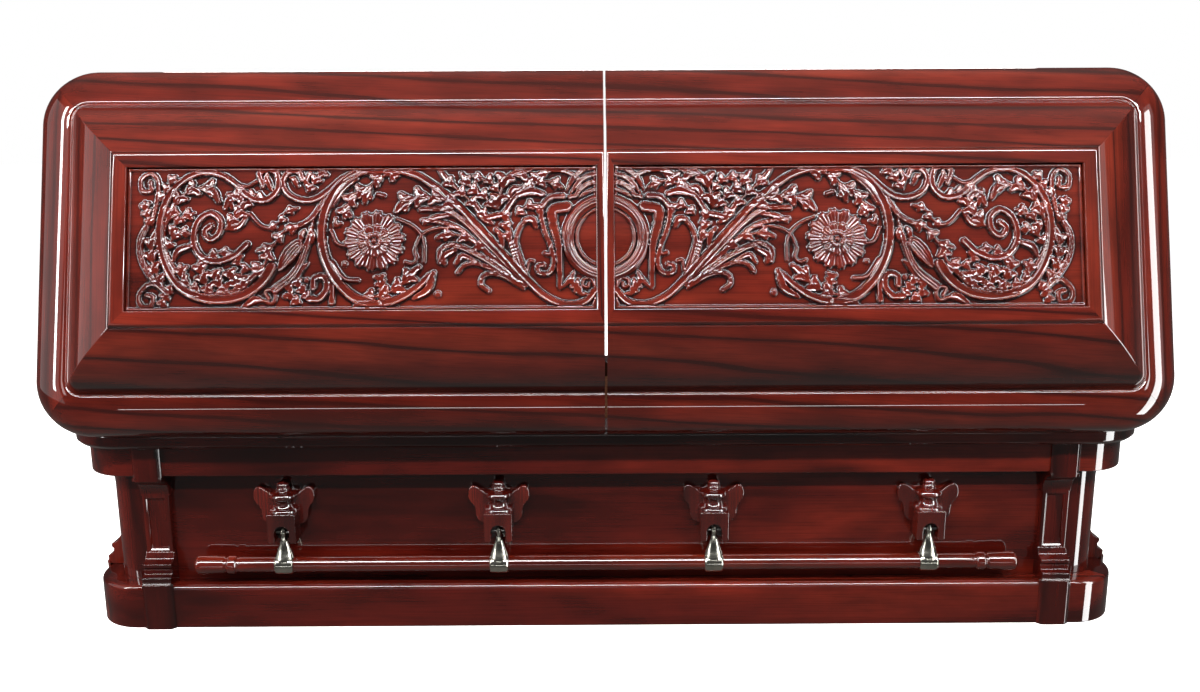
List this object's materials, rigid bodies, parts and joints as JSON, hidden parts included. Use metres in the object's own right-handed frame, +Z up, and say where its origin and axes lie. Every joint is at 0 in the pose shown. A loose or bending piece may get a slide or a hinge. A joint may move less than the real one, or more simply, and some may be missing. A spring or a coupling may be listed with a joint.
{
  "type": "funeral casket",
  "caption": "Lacquered mahogany burial casket with pilasters, swing-bar handles and half lids carved with scrolling leaves, shown open.",
  "frame": {"origin": "under the middle of the bottom board, on the surface the casket stands on", "axes": "+X along the casket, -Y towards the hinge side, +Z up"},
  "size_m": [2.12, 0.8297, 1.0796],
  "materials": {
    "mahogany": "high-gloss lacquer over dark red-brown mahogany",
    "lid_mahogany": "high-gloss lacquer over red-brown mahogany with wavy grain",
    "bare_wood": "unfinished board inside",
    "nickel": "polished nickel plate",
    "hinge_steel": "satin plated steel"
  },
  "bodies": {
    "casket_body": {"bottom_board": "bare_wood", "rim_frame": "mahogany", "side_panel_hinge": "mahogany", "side_panel_front": "mahogany", "end_panel_left": "mahogany", "end_panel_right": "mahogany", "corner_post_hinge_left": "mahogany", "corner_post_hinge_right": "mahogany", "corner_post_front_left": "mahogany", "corner_post_front_right": "mahogany", "base_rail_hinge": "mahogany", "base_rail_right": "mahogany", "base_rail_front": "mahogany", "base_rail_left": "mahogany", "frieze_rail_hinge": "mahogany", "frieze_rail_right": "mahogany", "frieze_rail_front": "mahogany", "frieze_rail_left": "mahogany", "pilaster_hinge_left": "mahogany", "pilaster_hinge_right": "mahogany", "pilaster_front_left": "mahogany", "pilaster_front_right": "mahogany", "pilaster_left_hinge": "mahogany", "pilaster_right_hinge": "mahogany", "pilaster_left_front": "mahogany", "pilaster_right_front": "mahogany", "handle_ear_hinge_1": "mahogany", "handle_ear_hinge_2": "mahogany", "handle_ear_hinge_3": "mahogany", "handle_ear_hinge_4": "mahogany", "handle_ear_front_1": "mahogany", "handle_ear_front_2": "mahogany", "handle_ear_front_3": "mahogany", "handle_ear_front_4": "mahogany", "hinge_1": "hinge_steel", "hinge_2": "hinge_steel", "hinge_3": "hinge_steel", "hinge_4": "hinge_steel"},
    "lid_left": {"lid_crown_hinge_left": "lid_mahogany", "lid_crown_end_left": "lid_mahogany", "lid_crown_front_left": "lid_mahogany", "lid_frame_left": "lid_mahogany", "carved_panel_left": "lid_mahogany"},
    "lid_right": {"lid_crown_hinge_right": "lid_mahogany", "lid_crown_end_right": "lid_mahogany", "lid_crown_front_right": "lid_mahogany", "lid_frame_right": "lid_mahogany", "carved_panel_right": "lid_mahogany"},
    "handle_hinge": {"handle_bar_hinge": "mahogany", "handle_arm_hinge_1": "nickel", "handle_arm_hinge_2": "nickel", "handle_arm_hinge_3": "nickel", "handle_arm_hinge_4": "nickel"},
    "handle_front": {"handle_bar_front": "mahogany", "handle_arm_front_1": "nickel", "handle_arm_front_2": "nickel", "handle_arm_front_3": "nickel", "handle_arm_front_4": "nickel"}
  },
  "joints": [
    {"name": "lid_left_hinge", "type": "hinge", "parent": "casket_body", "child": "lid_left", "pos_m": [0, -0.34, 0.408], "axis": [1, 0, 0], "range_deg": [-75, 0]},
    {"name": "lid_right_hinge", "type": "hinge", "parent": "casket_body", "child": "lid_right", "pos_m": [0, -0.34, 0.408], "axis": [1, 0, 0], "range_deg": [-75, 0]},
    {"name": "handle_hinge_swing", "type": "hinge", "parent": "casket_body", "child": "handle_hinge", "pos_m": [0, -0.312, 0.197], "axis": [-1, 0, 0], "range_deg": [0, 85]},
    {"name": "handle_front_swing", "type": "hinge", "parent": "casket_body", "child": "handle_front", "pos_m": [0, 0.312, 0.197], "axis": [1, 0, 0], "range_deg": [0, 85]}
  ]
}
